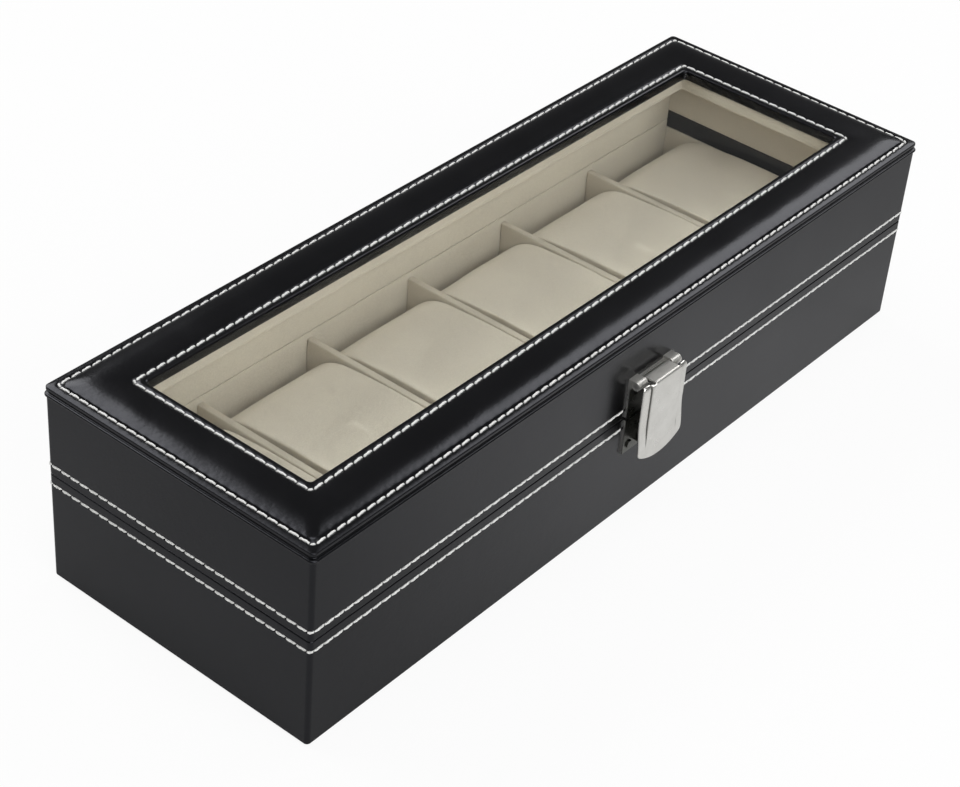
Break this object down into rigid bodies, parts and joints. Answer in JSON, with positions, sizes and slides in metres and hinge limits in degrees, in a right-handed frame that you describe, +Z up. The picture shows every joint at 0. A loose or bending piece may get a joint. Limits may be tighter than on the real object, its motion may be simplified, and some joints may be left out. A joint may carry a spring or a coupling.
{
  "type": "watch display box",
  "caption": "Long leather-covered box with a padded, glazed hinged lid, front clasp and a row of divided compartments holding removable velvet watch cushions.",
  "frame": {"origin": "middle of the underside, under the middle of the leather-covered walls", "axes": "+X along the box to the right seen from the clasp side, +Y from the clasp side to the hinge side, +Z up"},
  "size_m": [0.3004, 0.114, 0.0726],
  "materials": {
    "black_leather": "black grained leather, satin",
    "fibreboard": "raw medium fibreboard",
    "beige_velvet": "short-pile beige velvet",
    "white_thread": "white sewing thread",
    "black_felt": "thin black felt",
    "clear_glass": "clear float glass",
    "foam": "soft foam sheet",
    "bright_nickel": "polished nickel plate",
    "hinge_steel": "nickel-plated steel"
  },
  "bodies": {
    "base": {"base_leather_cover": "black_leather", "base_front_wall": "fibreboard", "base_back_wall": "fibreboard", "base_left_wall": "fibreboard", "base_right_wall": "fibreboard", "base_floor_board": "fibreboard", "base_front_lining": "beige_velvet", "base_back_lining": "beige_velvet", "base_left_lining": "beige_velvet", "base_right_lining": "beige_velvet", "base_floor_lining": "beige_velvet", "base_side_stitching": "white_thread", "underside_felt": "black_felt", "divider_1": "beige_velvet", "divider_2": "beige_velvet", "divider_3": "beige_velvet", "divider_4": "beige_velvet", "divider_5": "beige_velvet", "base_hinge_leaf_left": "hinge_steel", "base_hinge_leaf_right": "hinge_steel", "hinge_pins": "hinge_steel", "base_hinge_screws": "hinge_steel", "clasp_catch": "bright_nickel", "base_clasp_tacks": "bright_nickel"},
    "lid": {"lid_leather_cover": "black_leather", "lid_front_wall": "fibreboard", "lid_back_wall": "fibreboard", "lid_left_wall": "fibreboard", "lid_right_wall": "fibreboard", "lid_front_lining": "beige_velvet", "lid_back_lining": "beige_velvet", "lid_left_lining": "beige_velvet", "lid_right_lining": "beige_velvet", "lid_side_stitching": "white_thread", "window_glass": "clear_glass", "glass_retainer": "beige_velvet", "top_frame_board": "fibreboard", "top_frame_padding": "foam", "top_frame_leather": "black_leather", "top_outer_stitching": "white_thread", "top_inner_stitching": "white_thread", "lid_hinge_leaf_left": "hinge_steel", "lid_hinge_leaf_right": "hinge_steel", "lid_hinge_screws": "hinge_steel", "clasp_plate": "bright_nickel", "clasp_pin": "bright_nickel", "lid_clasp_tacks": "bright_nickel"},
    "flap": {"clasp_flap": "bright_nickel"},
    "cushion_1": {"cushion_1": "beige_velvet"},
    "cushion_2": {"cushion_2": "beige_velvet"},
    "cushion_3": {"cushion_3": "beige_velvet"},
    "cushion_4": {"cushion_4": "beige_velvet"},
    "cushion_5": {"cushion_5": "beige_velvet"},
    "cushion_6": {"cushion_6": "beige_velvet"}
  },
  "joints": [
    {"name": "lid_hinge", "type": "hinge", "parent": "base", "child": "lid", "pos_m": [0, 0.0535, 0.0395], "axis": [-1, 0, 0], "range_deg": [0, 100]},
    {"name": "flap_hinge", "type": "hinge", "parent": "lid", "child": "flap", "pos_m": [0, -0.0544, 0.053], "axis": [-1, 0, 0], "range_deg": [0, 105]},
    {"name": "cushion_1_lift", "type": "slide", "parent": "base", "child": "cushion_1", "axis": [0, 0, 1], "range_m": [0, 0.02]},
    {"name": "cushion_2_lift", "type": "slide", "parent": "base", "child": "cushion_2", "axis": [0, 0, 1], "range_m": [0, 0.02]},
    {"name": "cushion_3_lift", "type": "slide", "parent": "base", "child": "cushion_3", "axis": [0, 0, 1], "range_m": [0, 0.02]},
    {"name": "cushion_4_lift", "type": "slide", "parent": "base", "child": "cushion_4", "axis": [0, 0, 1], "range_m": [0, 0.02]},
    {"name": "cushion_5_lift", "type": "slide", "parent": "base", "child": "cushion_5", "axis": [0, 0, 1], "range_m": [0, 0.02]},
    {"name": "cushion_6_lift", "type": "slide", "parent": "base", "child": "cushion_6", "axis": [0, 0, 1], "range_m": [0, 0.02]}
  ]
}
